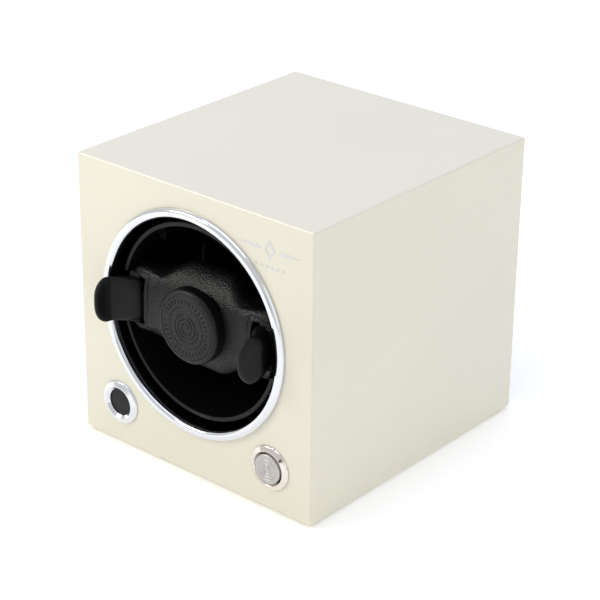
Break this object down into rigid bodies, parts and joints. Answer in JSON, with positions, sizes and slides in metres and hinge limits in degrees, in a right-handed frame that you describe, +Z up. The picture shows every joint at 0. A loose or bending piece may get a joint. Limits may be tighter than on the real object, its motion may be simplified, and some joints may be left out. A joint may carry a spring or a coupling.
{
  "type": "watch winder box",
  "caption": "Cube cabinet whose front mouth holds a motor-turned drum with a padded, levered watch holder, a lamp window and a push button.",
  "frame": {"origin": "centre of the felt base's underside, below the middle of the cabinet", "axes": "+Z up, the front with the drum's mouth faces -Y, +X to the right as seen from the front"},
  "size_m": [0.14, 0.1657, 0.1415],
  "materials": {
    "cabinet_lacquer": "cream high-build lacquer on fibreboard, semi-gloss",
    "base_felt": "ivory wool felt",
    "cover_board": "thin fibreboard, satin black paint",
    "block_wood": "bare softwood",
    "zinc_screws": "bright zinc plate",
    "black_plastic": "moulded, fine texture",
    "nickel_nuts": "nickel plate",
    "tinned_brass": "tinned",
    "polished_chrome": "mirror polished",
    "nickel_trim": "warm polished nickel",
    "can_gloss_black": "gloss moulded",
    "drum_black": "gloss inside, satin rim",
    "ground_steel": "ground",
    "spring_steel": "spring temper",
    "carrier_alloy": "turned",
    "bearing_bronze": "sintered bronze",
    "pulley_acetal": "moulded natural acetal",
    "belt_rubber": "flat ground belt",
    "plate_steel": "zinc-plated sheet",
    "holder_plastic": "moulded, satin",
    "nylon": "natural nylon",
    "black_leather": "fine grain, soft sheen",
    "boss_leather": "embossed fine grain",
    "lever_rubber": "soft-touch moulded",
    "smoked_lens": "smoked, polished",
    "led_resin": "clear cast resin",
    "satin_nickel": "satin nickel",
    "board_laminate": "green solder mask",
    "board_post_nylon": "natural nylon",
    "plug_nylon": "moulded nylon",
    "lead_pvc": "PVC jacket",
    "emblem_silver": "silver foil print"
  },
  "bodies": {
    "cabinet": {"back_cover": "cover_board", "back_cover_screws": "zinc_screws", "base_felt": "base_felt", "bearing_carrier": "carrier_alloy", "board_chips": "black_plastic", "board_plugs": "plug_nylon", "board_posts": "board_post_nylon", "board_screws": "zinc_screws", "bottom_panel": "cabinet_lacquer", "button_spring": "spring_steel", "button_switch": "black_plastic", "button_switch_tags": "tinned_brass", "button_trim": "nickel_trim", "can_screws": "zinc_screws", "carrier_screws": "zinc_screws", "control_board": "board_laminate", "corner_blocks": "block_wood", "corner_nuts": "nickel_nuts", "drive_belt": "belt_rubber", "drum_can": "can_gloss_black", "front_bearing": "bearing_bronze", "front_bezel": "polished_chrome", "front_emblem": "emblem_silver", "front_panel": "cabinet_lacquer", "gearbox": "plate_steel", "gearbox_screws": "zinc_screws", "lamp_holder": "black_plastic", "lamp_led": "led_resin", "lamp_lens": "smoked_lens", "lamp_trim": "polished_chrome", "leads": "lead_pvc", "left_panel": "cabinet_lacquer", "motor_case": "plate_steel", "motor_plate": "plate_steel", "motor_tags": "tinned_brass", "plate_posts": "nickel_nuts", "plate_screws": "zinc_screws", "power_inlet": "black_plastic", "power_inlet_nut": "nickel_nuts", "power_inlet_tags": "tinned_brass", "rear_bearing": "bearing_bronze", "right_panel": "cabinet_lacquer", "top_panel": "cabinet_lacquer"},
    "drum": {"drum": "drum_black", "drive_shaft": "ground_steel", "shaft_clip": "spring_steel", "drum_pulley": "pulley_acetal"},
    "motor_output": {"output_shaft": "ground_steel", "motor_pulley": "pulley_acetal"},
    "watch_holder": {"holder_core": "holder_plastic", "holder_pad": "black_leather", "holder_back_plate": "holder_plastic", "watch_boss": "boss_leather", "boss_screw": "zinc_screws", "lever_pins": "ground_steel", "lever_washers": "nylon"},
    "left_lever": {"left_lever": "lever_rubber"},
    "right_lever": {"right_lever": "lever_rubber"},
    "push_button": {"button_cap": "satin_nickel", "button_plunger": "black_plastic"}
  },
  "joints": [
    {"name": "drum_spin", "type": "hinge", "parent": "cabinet", "child": "drum", "pos_m": [0, 0, 0.077], "axis": [0, 1, 0], "continuous": true},
    {"name": "motor_spin", "type": "hinge", "parent": "cabinet", "child": "motor_output", "pos_m": [0, 0, 0.0385], "axis": [0, 1, 0], "continuous": true},
    {"name": "holder_pull", "type": "slide", "parent": "drum", "child": "watch_holder", "axis": [0, -1, 0], "range_m": [0, 0.06]},
    {"name": "left_lever_swing", "type": "hinge", "parent": "watch_holder", "child": "left_lever", "pos_m": [-0.04, -0.069, 0.077], "axis": [0, 0, 1], "range_deg": [0, 36]},
    {"name": "right_lever_swing", "type": "hinge", "parent": "watch_holder", "child": "right_lever", "pos_m": [0.04, -0.069, 0.077], "axis": [0, 0, 1], "range_deg": [-15, 21]},
    {"name": "button_press", "type": "slide", "parent": "cabinet", "child": "push_button", "axis": [0, 1, 0], "range_m": [0, 0.0012], "stiffness_N_per_m": 600, "deforming": ["button_spring"]}
  ],
  "couplings": [
    {"joint": "motor_spin", "follows": "drum_spin", "ratio": 2.4118}
  ]
}
